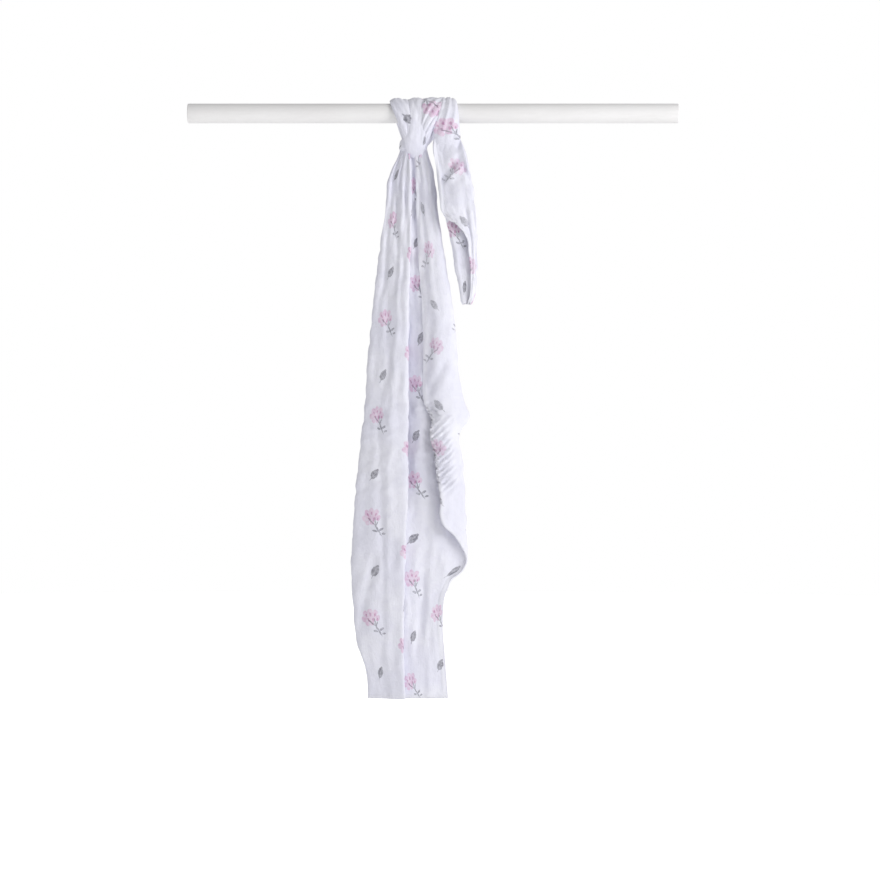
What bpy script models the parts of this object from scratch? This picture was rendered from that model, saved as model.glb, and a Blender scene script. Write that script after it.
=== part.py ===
"""A muslin swaddle blanket tied round a plain wooden pole.

The frame is the pole's: the origin is the centre of its left end face, +X runs along the pole, +Z is up and the
front, where the knot's tail hangs, faces -Y. All sizes below are in millimetres, and MM turns them into metres.
The blanket is one piece of cloth. Its layers hang from the knot as one sheet that runs back and forth.
"""

import bpy
import bmesh
import numpy as np
from mathutils import Vector

MM = 0.001

# The pole
POLE_DIAMETER = 28.0
POLE_LENGTH = 704.0
POLE_SIDES = 48
POLE_EDGE = 1.2
POLE_CLEARANCE = 0.4

# The cloth
CLOTH_THICKNESS = 1.8
KNOT_X = 326.0
SMALL_WAVE = 3.2
WAVE_LENGTH = 86.0
WAVE_SHIFT = 0.62
WAVE_DRIFT = 1800.0
WAVE_STARTS = 60.0
WAVE_FULL = 320.0
TURN_SWAY = 2.2
SWAY_DROP = 62.0
SWAY_STEP = 2.3

# The hanging cloth's outline. drop is measured down from the pole's axis, and the rest across from the knot:
# left and right are the outer folds, ridge is the long fold down the middle, and flap is how far the waterfall
# fold at the right reaches. depth is the share of the layers' full depth, and kept is how much of the waterfall
# fold is left at that height, above its slanting hem.
OUTLINE_COLUMNS = ("drop", "left", "ridge", "right", "flap", "depth", "kept")
OUTLINE = (
    (46.0, -20.0, -7.0, 15.0, 15.0, 0.46, 1.000),
    (60.0, -24.0, -8.0, 18.0, 18.0, 0.47, 1.000),
    (80.0, -34.0, -7.0, 24.0, 24.0, 0.52, 1.000),
    (146.0, -43.0, -6.0, 32.0, 33.0, 0.64, 1.000),
    (216.0, -52.0, -7.0, 43.0, 45.0, 0.76, 1.000),
    (294.0, -62.0, -7.0, 54.0, 58.0, 0.88, 1.000),
    (358.0, -70.0, -8.0, 58.0, 63.0, 0.95, 0.990),
    (395.0, -73.0, -9.0, 59.0, 66.0, 0.98, 0.955),
    (420.0, -75.1, -9.7, 59.1, 72.5, 1.00, 0.870),
    (437.0, -76.6, -10.2, 58.8, 77.5, 1.00, 0.790),
    (446.0, -77.5, -10.5, 58.5, 72.0, 1.00, 0.770),
    (456.0, -78.5, -10.8, 58.2, 64.0, 1.00, 0.756),
    (489.0, -81.1, -11.6, 57.5, 66.0, 1.00, 0.718),
    (519.0, -83.3, -12.0, 56.9, 69.0, 1.00, 0.708),
    (554.0, -85.6, -11.9, 55.3, 72.0, 1.00, 0.689),
    (575.0, -86.9, -12.5, 54.2, 73.5, 1.00, 0.695),
    (586.0, -87.6, -12.8, 53.6, 74.5, 1.00, 0.686),
    (594.0, -88.0, -13.0, 53.0, 75.0, 1.00, 0.660),
    (602.0, -88.4, -13.0, 52.2, 75.5, 1.00, 0.612),
    (611.0, -88.8, -13.0, 51.3, 76.0, 1.00, 0.571),
    (621.0, -89.4, -13.0, 50.6, 77.0, 1.00, 0.536),
    (631.0, -90.0, -13.0, 50.0, 77.5, 1.00, 0.482),
    (644.0, -90.8, -13.0, 48.7, 76.5, 1.00, 0.446),
    (657.0, -91.1, -13.0, 47.1, 69.0, 1.00, 0.420),
    (667.0, -91.0, -13.0, 45.9, 57.0, 1.00, 0.390),
    (682.0, -91.0, -13.0, 44.0, 50.0, 0.99, 0.360),
    (726.0, -89.0, -14.0, 40.0, 42.0, 0.96, 0.360),
    (760.0, -85.0, -15.0, 41.0, 43.0, 0.94, 0.360),
    (803.0, -72.0, -15.0, 43.0, 45.0, 0.92, 0.360),
    (838.0, -69.0, -15.0, 45.0, 47.0, 0.90, 0.360),
)

# A depth that changes on the way down is a row of (drop, depth) pairs. The valley beside the ridge is nearly closed
# at the neck and low down, and open between, and the waterfall's hem lies on the valley's cloth until it lifts off.
TUCK_DEPTHS = (
    ((150.0, 28.3), (290.0, 25.0), (500.0, 25.0), (600.0, 30.0)),
    ((150.0, 26.0), (290.0, 20.0), (500.0, 20.0), (600.0, 28.0)),
    ((150.0, 23.5), (290.0, 16.0), (500.0, 16.0), (600.0, 26.4)),
)
VALLEY_DEPTHS = (
    ((150.0, 17.0), (290.0, 8.0), (500.0, 8.0), (600.0, 22.5)),
    ((150.0, 18.5), (290.0, 14.0), (500.0, 14.0), (600.0, 22.0)),
    ((150.0, 19.0), (290.0, 25.0), (500.0, 25.0), (600.0, 16.0)),
)
WATERFALL_HEM_DEPTH = ((150.0, 23.4), (200.0, 23.6), (290.0, 25.0), (400.0, 24.6), (490.0, 25.4), (570.0, 33.0))

# The layers from the hem at the back to the hem at the front. start and end are places across, 0 at the left fold,
# 0.5 at the ridge and 1 at the right fold. The depths are towards the viewer, at the layer's start, middle and end.
# Columns: start, end, depth at the start, depth in the middle, depth at the end.
HANGING_LAYERS = {
    "back hem": (0.14, 0.90, -39.0, -41.0, -38.0),
    "second": (0.96, 0.06, -31.0, -32.0, -30.0),
    "third": (0.02, 0.95, -23.0, -23.0, -22.0),
    "fourth": (1.00, 0.03, -15.0, -14.0, -13.0),
    "fifth": (0.01, 0.93, -6.0, -5.0, -4.0),
    "sixth": (0.97, 0.00, 3.0, 3.0, 4.0),
    "left cheek": (0.00, 0.29, 12.0, 15.0, 25.0),
    "centre ridge": (0.32, 0.50, 28.5, 32.5, 36.0),
    "tuck": (0.51, 0.36, TUCK_DEPTHS[0], TUCK_DEPTHS[1], TUCK_DEPTHS[2]),
    "valley": (0.36, 0.66, VALLEY_DEPTHS[0], VALLEY_DEPTHS[1], VALLEY_DEPTHS[2]),
    "inside of the waterfall": (0.74, 1.00, 15.0, 17.0, 17.0),
    "waterfall": (1.00, 0.63, 25.0, 36.0, WATERFALL_HEM_DEPTH),
}
WATERFALL = ("inside of the waterfall", "waterfall")
HANGING_ROWS = ((46.0, 360.0, 6), (360.0, 540.0, 5), (540.0, 700.0, 8), (700.0, 838.0, 2))
COLUMNS_A_LAYER = 5
LONG_LAYER = 0.5
COLUMNS_A_LONG_LAYER = 6
WATERFALL_COLUMNS = 12

# The tail, the blanket's free end, beside the knot
TAIL_OUTLINE = (
    (20.0, 31.0, 44.0, 57.0, 57.0, 0.50, 1.00),
    (50.0, 26.0, 47.5, 69.0, 69.0, 0.66, 1.00),
    (88.0, 32.0, 55.5, 79.0, 79.0, 0.90, 1.00),
    (124.0, 36.0, 61.0, 86.0, 86.0, 1.05, 1.00),
    (143.0, 39.0, 63.5, 88.0, 88.0, 1.08, 0.92),
    (160.0, 43.0, 66.0, 89.5, 89.5, 1.08, 0.50),
    (178.0, 47.0, 69.0, 91.0, 91.0, 1.05, 0.30),
    (200.0, 51.0, 71.0, 91.5, 91.5, 1.00, 0.24),
    (228.0, 55.0, 73.5, 92.0, 92.0, 0.90, 0.22),
    (252.0, 62.0, 75.0, 88.5, 88.5, 0.72, 0.22),
    (265.0, 64.5, 75.0, 85.0, 85.0, 0.62, 0.22),
    (275.0, 68.5, 75.0, 80.5, 80.5, 0.55, 0.22),
)
TAIL_LAYERS = {
    "back hem": (0.15, 0.90, -13.0, -14.0, -12.0),
    "middle": (1.00, 0.02, -5.0, -8.0, -3.0),
    "pocket": (0.00, 0.95, 6.0, 4.5, 6.0),
    "front flap": (1.00, 0.10, 11.0, 16.0, 10.0),
}
TAIL_ROWS = ((20.0, 135.0, 3), (135.0, 205.0, 5), (205.0, 275.0, 3))
TAIL_FLAP_COLUMNS = 8
TAIL_FRONT = ((20.0, 16.0), (65.0, 23.0))

# The knot's rolls of bunched cloth, a row for each place along a roll.
# Columns: across from the knot, towards the viewer, up from the pole's axis, half the width, half the thickness.
ROLLS = {
    "left flap": (
        (-3.0, 12.0, -58.0, 7.0, 4.0),
        (-5.0, 20.0, -42.0, 10.0, 5.0),
        (-9.0, 23.5, -24.0, 11.5, 5.0),
        (-14.5, 22.0, -6.0, 12.5, 4.5),
        (-21.0, 15.0, 11.5, 13.5, 4.0),
        (-24.0, 0.0, 20.0, 13.5, 4.0),
        (-22.0, -14.5, 14.0, 13.0, 4.5),
        (-17.0, -20.0, -4.0, 12.0, 5.0),
        (-11.0, -15.0, -28.0, 10.0, 5.0),
        (-6.0, -8.0, -50.0, 8.0, 4.5),
    ),
    "saddle": (
        (1.0, 9.0, -63.0, 11.0, 3.5),
        (0.5, 21.0, -52.0, 15.0, 5.0),
        (0.0, 24.5, -34.0, 15.5, 5.5),
        (2.0, 23.0, -14.0, 13.0, 5.0),
        (3.0, 18.0, 7.0, 12.0, 4.5),
        (3.0, 4.0, 20.0, 13.0, 4.0),
        (1.0, -11.0, 17.5, 15.0, 4.0),
        (-1.0, -20.0, 2.0, 16.0, 4.5),
        (-3.0, -18.0, -18.0, 16.0, 5.0),
        (-4.0, -12.0, -42.0, 13.0, 5.0),
        (-3.0, -4.0, -60.0, 9.0, 4.0),
    ),
    "throat": (
        (10.0, 10.0, -56.0, 6.0, 4.0),
        (13.0, 18.0, -40.0, 7.5, 5.0),
        (17.0, 23.0, -22.0, 9.5, 6.5),
        (22.0, 24.0, -5.0, 13.5, 6.0),
        (27.0, 17.0, 12.0, 18.5, 4.5),
        (29.0, 1.0, 20.5, 20.5, 4.0),
        (29.0, -14.0, 15.0, 17.0, 4.5),
        (25.0, -20.0, -2.0, 13.0, 5.0),
        (17.0, -15.0, -22.0, 9.0, 5.0),
    ),
    "tail root": (
        (2.0, -6.0, -52.0, 7.0, 5.0),
        (17.0, -18.0, -30.0, 12.0, 6.0),
        (33.0, -20.5, -6.0, 13.0, 5.5),
        (42.0, -13.0, 15.0, 13.0, 5.0),
        (45.5, 3.0, 20.5, 12.5, 4.5),
        (47.5, 17.5, 9.0, 14.0, 5.5),
        (46.0, 22.5, -10.0, 17.0, 7.5),
        (45.0, 23.0, -32.0, 20.0, 8.5),
        (47.0, 22.0, -58.0, 18.0, 6.0),
    ),
}
NECK_BAND_CENTRE = (-3.0, 1.0, -43.0)
NECK_BAND_RADII = (15.0, 14.0)
NECK_BAND_TUBE = (5.0, 9.0)
NECK_BAND_LEAN = 0.25
NECK_CORE = ((-3.0, 0.0, -47.0), (18.0, 15.0, 17.0))
ROLL_SIDES = 12
ROLL_STEPS = 2
ROLL_PLEATS = 4
ROLL_PLEAT_DEPTH = 0.10

COTTON_WHITE = (0.86, 0.84, 0.90)
POLE_WHITE = (0.88, 0.86, 0.85)


def clear_scene():
    for old in list(bpy.data.objects):
        bpy.data.objects.remove(old)


def finish_of(name, colour, roughness):
    material = bpy.data.materials.new(name)
    material.use_nodes = True
    shader = material.node_tree.nodes["Principled BSDF"]
    shader.inputs["Base Color"].default_value = (*colour, 1.0)
    shader.inputs["Roughness"].default_value = roughness
    shader.inputs["Metallic"].default_value = 0.0
    return material


def place(across, front, up):
    """A point given from the knot and the pole's axis, in metres in the part's frame."""
    return Vector((KNOT_X + across, -front, up)) * MM


def smooth_through(stations, values, at):
    """A cubic through the values, whose slope at each station is that of its neighbours."""
    slopes = np.gradient(values, stations)
    k = np.clip(np.searchsorted(stations, at) - 1, 0, len(stations) - 2)
    span = stations[k + 1] - stations[k]
    t = (at - stations[k]) / span
    rise = values[k + 1] - values[k]
    bend_in = slopes[k] * span - rise
    bend_out = rise - slopes[k + 1] * span
    return values[k] + t * rise + t * (1 - t) * ((1 - t) * bend_in + t * bend_out)


def soft_curve(corners, at):
    """Points of a uniform cubic B-spline that starts and ends on its first and last corners."""
    padded = np.vstack([corners[:1]] * 2 + [corners] + [corners[-1:]] * 2)
    spans = len(padded) - 3
    k = np.clip(np.floor(at).astype(int), 0, spans - 1)
    t = (at - k)[:, None]
    weights = (
        (1 - t) ** 3,
        3 * t**3 - 6 * t**2 + 4,
        -3 * t**3 + 3 * t**2 + 3 * t + 1,
        t**3,
    )
    return sum(weight * padded[k + i] for i, weight in enumerate(weights)) / 6


def depth_at(depth, drop):
    """A depth from the layers' table at one drop."""
    return np.interp(drop, *zip(*depth)) if isinstance(depth, tuple) else depth


def layer_corners(layers, level, drop):
    """The corners of one level section: each layer's start, middle and end, across and towards the viewer.
    Each turn between two layers sways a little on its way down, so no two of them hang alike."""
    corners = []
    for turn, (name, (start, end, *depths)) in enumerate(layers.items()):
        right = level["flap"] if name in WATERFALL else level["right"]
        sways = (sway(turn, drop), 0.0, sway(turn + 1, drop))
        for share, depth, swayed in zip((start, (start + end) / 2, end), depths, sways):
            across = np.interp(share, (0.0, 0.5, 1.0), (level["left"], level["ridge"], right))
            corners.append((across + swayed * level["depth"], depth_at(depth, drop) * level["depth"]))
    return np.array(corners)


def sway(turn, drop):
    return TURN_SWAY * np.sin(drop / SWAY_DROP + SWAY_STEP * turn)


def wave(across, drop):
    """The soft vertical flutes that all the layers share, towards the viewer."""
    grown = np.clip((drop - WAVE_STARTS) / (WAVE_FULL - WAVE_STARTS), 0, 1)
    return SMALL_WAVE * grown * np.sin(2 * np.pi * (across / WAVE_LENGTH + WAVE_SHIFT + drop / WAVE_DRIFT))


def column_places(layers, trimmed_layers):
    """Where the columns lie along a section, in corners, up to the layers that the slanting hem cuts."""
    fixed = []
    for k, (start, end, *depths) in enumerate(list(layers.values())[: len(layers) - trimmed_layers]):
        count = COLUMNS_A_LONG_LAYER if abs(end - start) > LONG_LAYER else COLUMNS_A_LAYER
        first = 3 * k + 1 if k else 0
        fixed.extend(np.linspace(first, 3 * k + 4, count + (k == 0), endpoint=False))
    return np.array(fixed)


def hanging_sheet(name, outline, layers, trimmed_layers, moving_columns, rows, shift_front, bottom_wave):
    """One closed sheet that hangs in layers: a grid of level sections, given its thickness by Solidify."""
    columns = {key: np.array(values) for key, values in zip(OUTLINE_COLUMNS, zip(*outline))}
    drops = np.unique(np.concatenate([np.linspace(a, b, n + 1) for a, b, n in rows]))
    last = 3 * len(layers) + 1
    fixed = column_places(layers, trimmed_layers)
    moving = np.linspace(0, 1, moving_columns + 1)
    trimmed_from = 3 * (len(layers) - trimmed_layers) + 1
    points = []
    for drop in drops:
        level = {key: smooth_through(columns["drop"], columns[key], drop) for key in OUTLINE_COLUMNS[1:]}
        hem = trimmed_from + (last - trimmed_from) * level["kept"]
        at = np.concatenate([fixed, trimmed_from + (hem - trimmed_from) * moving])
        section = soft_curve(layer_corners(layers, level, drop), at)
        down = drop + bottom_wave * np.sin(section[:, 0] / 9.0) * (drop == drops[-1])
        front = section[:, 1] + wave(section[:, 0], drop) + depth_at(shift_front, drop)
        points.append(np.column_stack([section[:, 0], front, -down]))
    grid = np.array(points)
    rows_made, columns_made = grid.shape[:2]
    mesh = bmesh.new()
    corners = [[mesh.verts.new(place(*point)) for point in row] for row in grid]
    for i in range(rows_made - 1):
        for j in range(columns_made - 1):
            mesh.faces.new((corners[i][j], corners[i + 1][j], corners[i + 1][j + 1], corners[i][j + 1]))
    sheet = object_of(name, mesh)
    solidify = sheet.modifiers.new("thickness", "SOLIDIFY")
    solidify.thickness = CLOTH_THICKNESS * MM
    solidify.offset = 0.0
    return sheet


def object_of(name, mesh):
    data = bpy.data.meshes.new(name)
    bmesh.ops.recalc_face_normals(mesh, faces=mesh.faces)
    mesh.to_mesh(data)
    mesh.free()
    made = bpy.data.objects.new(name, data)
    bpy.context.scene.collection.objects.link(made)
    return made


def closed_loft(name, rings):
    """A closed solid through rings of points, with a flat end on the first and the last."""
    mesh = bmesh.new()
    corners = [[mesh.verts.new(place(*point)) for point in ring] for ring in rings]
    sides = len(rings[0])
    for below, above in zip(corners, corners[1:]):
        for j in range(sides):
            mesh.faces.new((below[j], below[(j + 1) % sides], above[(j + 1) % sides], above[j]))
    mesh.faces.new(corners[0])
    mesh.faces.new(list(reversed(corners[-1])))
    return object_of(name, mesh)


def bunched_roll(name, rows, phase):
    """A roll of bunched cloth along its rows, oval in section, with pleats that run along it."""
    table = np.array(rows)
    steps = np.linspace(0, len(rows) + 1, len(rows) * ROLL_STEPS)
    route = soft_curve(table, steps)
    turn = np.linspace(0, 2 * np.pi, ROLL_SIDES, endpoint=False)
    rings = []
    for k, row in enumerate(route):
        before, after = route[max(k - 1, 0)], route[min(k + 1, len(route) - 1)]
        along = (after - before)[:3]
        along /= np.linalg.norm(along)
        # The roll lies flat on the pole, so its width is as near the pole's direction as its route allows.
        width = np.array([1.0, 0.0, 0.0]) - along[0] * along
        width /= np.linalg.norm(width)
        thick = np.cross(along, width)
        size = 1 + ROLL_PLEAT_DEPTH * np.cos(ROLL_PLEATS * turn + phase + 0.25 * k)
        ring = row[:3] + np.outer(np.cos(turn) * size * row[3], width)
        rings.append(ring + np.outer(np.sin(turn) * size * row[4], thick))
    return closed_loft(name, rings)


def neck_band(name):
    """The turn of cloth that binds the neck below the pole."""
    mesh = bmesh.new()
    around = np.linspace(0, 2 * np.pi, 20, endpoint=False)
    tube = np.linspace(0, 2 * np.pi, 10, endpoint=False)
    grid = []
    for k, a in enumerate(around):
        swell = 1 + 0.10 * np.sin(3 * a + 1.0)
        ring = []
        for b in tube:
            out = 1 + NECK_BAND_TUBE[0] * swell * np.cos(b) / NECK_BAND_RADII[0]
            across = NECK_BAND_CENTRE[0] + NECK_BAND_RADII[0] * out * np.cos(a)
            front = NECK_BAND_CENTRE[1] + NECK_BAND_RADII[1] * out * np.sin(a)
            up = NECK_BAND_CENTRE[2] + NECK_BAND_TUBE[1] * swell * np.sin(b)
            up += NECK_BAND_LEAN * (across - NECK_BAND_CENTRE[0])
            ring.append(mesh.verts.new(place(across, front, up)))
        grid.append(ring)
    for i in range(len(around)):
        for j in range(len(tube)):
            here, beyond = grid[i], grid[(i + 1) % len(around)]
            mesh.faces.new((here[j], beyond[j], beyond[(j + 1) % len(tube)], here[(j + 1) % len(tube)]))
    return object_of(name, mesh)


def neck_core(name):
    """The packed cloth inside the neck, where all the layers come together."""
    centre, radii = NECK_CORE
    mesh = bmesh.new()
    bmesh.ops.create_icosphere(mesh, subdivisions=2, radius=1.0)
    for corner in mesh.verts:
        corner.co = place(*(c + r * v for c, r, v in zip(centre, radii, (corner.co.x, -corner.co.y, corner.co.z))))
    return object_of(name, mesh)


def along_pole(name, radius, length, edge):
    """A round bar along the pole's axis, with its two rims rounded off."""
    mesh = bmesh.new()
    profile = ((0.0, radius - edge), (edge, radius), (length - edge, radius), (length, radius - edge))
    turn = np.linspace(0, 2 * np.pi, POLE_SIDES, endpoint=False)
    corners = [
        [mesh.verts.new(Vector((x, r * np.cos(a), r * np.sin(a))) * MM) for a in turn] for x, r in profile
    ]
    for left, right in zip(corners, corners[1:]):
        for j in range(POLE_SIDES):
            mesh.faces.new((left[j], left[(j + 1) % POLE_SIDES], right[(j + 1) % POLE_SIDES], right[j]))
    mesh.faces.new(corners[0])
    mesh.faces.new(list(reversed(corners[-1])))
    return object_of(name, mesh)


def hide_helper(helper):
    helper.hide_render = True
    helper.display_type = "WIRE"


def boolean(target, tool, operation, solver="EXACT"):
    modifier = target.modifiers.new(f"{operation.lower()} {tool.name}", "BOOLEAN")
    modifier.operation = operation
    modifier.solver = solver
    modifier.object = tool
    hide_helper(tool)


def skins_of(mesh):
    """The faces of each closed surface in the mesh, told apart where more than two faces share an edge."""
    left = set(mesh.faces)
    while left:
        found = {left.pop()}
        newest = list(found)
        while newest:
            sides = [side for side in newest.pop().edges if len(side.link_faces) == 2]
            beyond = {face for side in sides for face in side.link_faces} & left
            left -= beyond
            found |= beyond
            newest.extend(beyond)
        yield found


def keep_outer_skin(solid):
    """Fills the pockets sealed inside the knot: only the surface round the outside, the largest, stays."""
    mesh = bmesh.new()
    mesh.from_object(solid, bpy.context.evaluated_depsgraph_get())
    solid.modifiers.clear()
    bmesh.ops.triangulate(mesh, faces=mesh.faces)
    for inner in sorted(skins_of(mesh), key=len)[:-1]:
        bmesh.ops.delete(mesh, geom=list(inner), context="FACES")
    mesh.to_mesh(solid.data)
    mesh.free()


def make_blanket(material):
    """The whole blanket as one solid: the knot's core, with every roll and both sheets joined to it."""
    blanket = neck_core("blanket")
    boolean(blanket, neck_band("neck band shape"), "UNION")
    for phase, (name, rows) in enumerate(ROLLS.items()):
        boolean(blanket, bunched_roll(f"{name} shape", rows, 1.7 * phase), "UNION")
    hanging = hanging_sheet(
        "hanging shape", OUTLINE, HANGING_LAYERS, len(WATERFALL), WATERFALL_COLUMNS, HANGING_ROWS, 0.0, 1.0
    )
    # The exact solver loses a sheet with this many folds, so the sheets and the bore use the other one.
    boolean(blanket, hanging, "UNION", "MANIFOLD")
    tail = hanging_sheet("tail shape", TAIL_OUTLINE, TAIL_LAYERS, 1, TAIL_FLAP_COLUMNS, TAIL_ROWS, TAIL_FRONT, 0.0)
    boolean(blanket, tail, "UNION", "MANIFOLD")
    bore = along_pole("pole clearance", POLE_DIAMETER / 2 + POLE_CLEARANCE, POLE_LENGTH, POLE_EDGE)
    boolean(blanket, bore, "DIFFERENCE", "MANIFOLD")
    keep_outer_skin(blanket)
    blanket.data.materials.append(material)
    return blanket


def make_pole(material):
    pole = along_pole("pole", POLE_DIAMETER / 2, POLE_LENGTH, POLE_EDGE)
    pole.data.materials.append(material)
    for face in pole.data.polygons:
        face.use_smooth = True
    pole.data.set_sharp_from_angle(angle=np.radians(35))
    return pole


clear_scene()
make_pole(finish_of("pole_white", POLE_WHITE, 0.35))
make_blanket(finish_of("muslin_white", COTTON_WHITE, 0.95))
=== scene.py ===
"""The looks of a muslin swaddle blanket tied round a plain wooden pole.

Lengths in the tables are millimetres, unless a comment says otherwise, and MM turns them into metres. The
frame is the CAD model's: the origin is the centre of the pole's left end face, +X runs along the pole, +Z is
up, and the front of the blanket faces -Y. The blanket hangs as one thin sheet that runs back and forth in
layers, as its CAD solid does. Its free end, the rolls of its knot and the turn round its neck are joined to
it, and it has the finer pleats, creases, hems and stitches that the solid leaves out.
"""

import bmesh
import bpy
import numpy as np
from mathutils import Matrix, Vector


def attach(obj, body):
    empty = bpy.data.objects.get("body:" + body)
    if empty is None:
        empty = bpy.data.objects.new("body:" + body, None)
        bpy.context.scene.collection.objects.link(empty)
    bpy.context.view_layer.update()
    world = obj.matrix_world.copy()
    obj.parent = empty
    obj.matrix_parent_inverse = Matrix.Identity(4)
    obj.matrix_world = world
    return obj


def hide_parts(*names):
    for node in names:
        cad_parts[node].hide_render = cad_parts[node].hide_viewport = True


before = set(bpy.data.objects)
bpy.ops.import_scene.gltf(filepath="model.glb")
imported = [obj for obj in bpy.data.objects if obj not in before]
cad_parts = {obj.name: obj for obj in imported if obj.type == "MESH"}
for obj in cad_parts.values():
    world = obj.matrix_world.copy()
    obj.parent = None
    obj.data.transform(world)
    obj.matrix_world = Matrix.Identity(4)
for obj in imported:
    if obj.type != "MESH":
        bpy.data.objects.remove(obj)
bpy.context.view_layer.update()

MM = 0.001

# The pole. POLE_GAP is the least room between it and any point of the cloth's mesh.
POLE_DIAMETER = 28.0
POLE_LENGTH = 704.0
POLE_EDGE = 1.2
POLE_EDGE_STEPS = 7
POLE_SIDES = 96
POLE_RINGS = 42
POLE_GAP = 0.5

# The cloth. KNOT_X is the knot's place along the pole.
KNOT_X = 326.0
CLOTH_THICKNESS = 1.0
HEM_THICKNESS = 2.1
HEM_WIDTH = 7.0
HEM_SLOPE = 1.5

# Each level of the hanging cloth. drop is down from the pole's axis, the rest is across from the knot: the
# outer folds, the long fold down the middle and the reach of the waterfall fold. depth is the share of the
# layers' full depth, and kept how much of the waterfall fold is left at that height, above its slanting hem.
OUTLINE_COLUMNS = ("drop", "left", "ridge", "right", "flap", "depth", "kept")
OUTLINE = (
    (46.0, -20.0, -7.0, 15.0, 15.0, 0.46, 1.000),
    (60.0, -24.0, -8.0, 18.0, 18.0, 0.47, 1.000),
    (80.0, -34.0, -7.0, 24.0, 24.0, 0.52, 1.000),
    (146.0, -43.0, -6.0, 32.0, 33.0, 0.64, 1.000),
    (216.0, -52.0, -7.0, 43.0, 45.0, 0.76, 1.000),
    (294.0, -62.0, -7.0, 54.0, 58.0, 0.88, 1.000),
    (358.0, -70.0, -8.0, 58.0, 63.0, 0.95, 0.990),
    (395.0, -73.0, -9.0, 59.0, 66.0, 0.98, 0.955),
    (420.0, -75.1, -9.7, 59.1, 72.5, 1.00, 0.870),
    (437.0, -76.6, -10.2, 58.8, 77.5, 1.00, 0.790),
    (446.0, -77.5, -10.5, 58.5, 72.0, 1.00, 0.770),
    (456.0, -78.5, -10.8, 58.2, 64.0, 1.00, 0.756),
    (489.0, -81.1, -11.6, 57.5, 66.0, 1.00, 0.718),
    (519.0, -83.3, -12.0, 56.9, 69.0, 1.00, 0.708),
    (554.0, -85.6, -11.9, 55.3, 72.0, 1.00, 0.689),
    (575.0, -86.9, -12.5, 54.2, 73.5, 1.00, 0.695),
    (586.0, -87.6, -12.8, 53.6, 74.5, 1.00, 0.686),
    (594.0, -88.0, -13.0, 53.0, 75.0, 1.00, 0.660),
    (602.0, -88.4, -13.0, 52.2, 75.5, 1.00, 0.612),
    (611.0, -88.8, -13.0, 51.3, 76.0, 1.00, 0.571),
    (621.0, -89.4, -13.0, 50.6, 77.0, 1.00, 0.536),
    (631.0, -90.0, -13.0, 50.0, 77.5, 1.00, 0.482),
    (644.0, -90.8, -13.0, 48.7, 76.5, 1.00, 0.446),
    (657.0, -91.1, -13.0, 47.1, 69.0, 1.00, 0.420),
    (667.0, -91.0, -13.0, 45.9, 57.0, 1.00, 0.390),
    (682.0, -91.0, -13.0, 44.0, 50.0, 0.99, 0.360),
    (726.0, -89.0, -14.0, 40.0, 42.0, 0.96, 0.360),
    (760.0, -85.0, -15.0, 41.0, 43.0, 0.94, 0.360),
    (803.0, -72.0, -15.0, 43.0, 45.0, 0.92, 0.360),
    (838.0, -69.0, -15.0, 45.0, 47.0, 0.90, 0.360),
)

# A depth that changes on the way down is a row of (drop, depth) pairs. The valley beside the ridge is nearly
# closed at the neck and low down, and open between. The waterfall's hem lies on the valley's cloth until it
# lifts off.
TUCK_DEPTHS = (
    ((150.0, 28.3), (290.0, 25.0), (500.0, 25.0), (600.0, 30.0)),
    ((150.0, 26.0), (290.0, 20.0), (500.0, 20.0), (600.0, 28.0)),
    ((150.0, 23.5), (290.0, 16.0), (500.0, 16.0), (600.0, 26.4)),
)
VALLEY_DEPTHS = (
    ((150.0, 17.0), (290.0, 8.0), (500.0, 8.0), (600.0, 22.5)),
    ((150.0, 18.5), (290.0, 14.0), (500.0, 14.0), (600.0, 22.0)),
    ((150.0, 19.0), (290.0, 25.0), (500.0, 25.0), (600.0, 16.0)),
)
WATERFALL_HEM_DEPTH = (
    (150.0, 21.6),
    (200.0, 22.0),
    (290.0, 23.6),
    (400.0, 23.4),
    (490.0, 24.8),
    (570.0, 33.0),
)

# The layers from the hem at the back to the hem at the front: where each starts and ends across (0 at the
# left fold, 0.5 at the middle fold, 1 at the right fold), then its depth at the start, in the middle and at
# the end.
HANGING_LAYERS = {
    "back hem": (0.14, 0.90, -39.0, -41.0, -38.0),
    "second": (0.96, 0.06, -31.0, -32.0, -30.0),
    "third": (0.02, 0.95, -23.0, -23.0, -22.0),
    "fourth": (1.00, 0.03, -15.0, -14.0, -13.0),
    "fifth": (0.01, 0.93, -6.0, -5.0, -4.0),
    "sixth": (0.97, 0.00, 3.0, 3.0, 4.0),
    "left cheek": (0.00, 0.29, 12.0, 15.0, 25.0),
    "centre ridge": (0.32, 0.50, 28.5, 32.5, 36.0),
    "tuck": (0.51, 0.36, TUCK_DEPTHS[0], TUCK_DEPTHS[1], TUCK_DEPTHS[2]),
    "valley": (0.36, 0.66, VALLEY_DEPTHS[0], VALLEY_DEPTHS[1], VALLEY_DEPTHS[2]),
    "inside of the waterfall": (0.74, 1.00, 15.0, 17.0, 17.0),
    "waterfall": (1.00, 0.63, 25.0, 36.0, WATERFALL_HEM_DEPTH),
}
WATERFALL = ("inside of the waterfall", "waterfall")
CORNERS_A_LAYER = 3
# Columns: from and to which drop, and how many rows of the grid lie between
HANGING_ROWS = ((46.0, 400.0, 61), (400.0, 550.0, 54), (550.0, 700.0, 27), (700.0, 838.0, 15))
# How far apart the grid's columns lie, for each layer in turn, at the drop where the print is true to size
HANGING_SPACING = (4.2, 4.6, 7.5, 7.5, 7.5, 7.0, 3.0, 2.8, 3.4, 3.0, 3.2, 2.8)
HANGING_TRUE_DROP = 560.0
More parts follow.
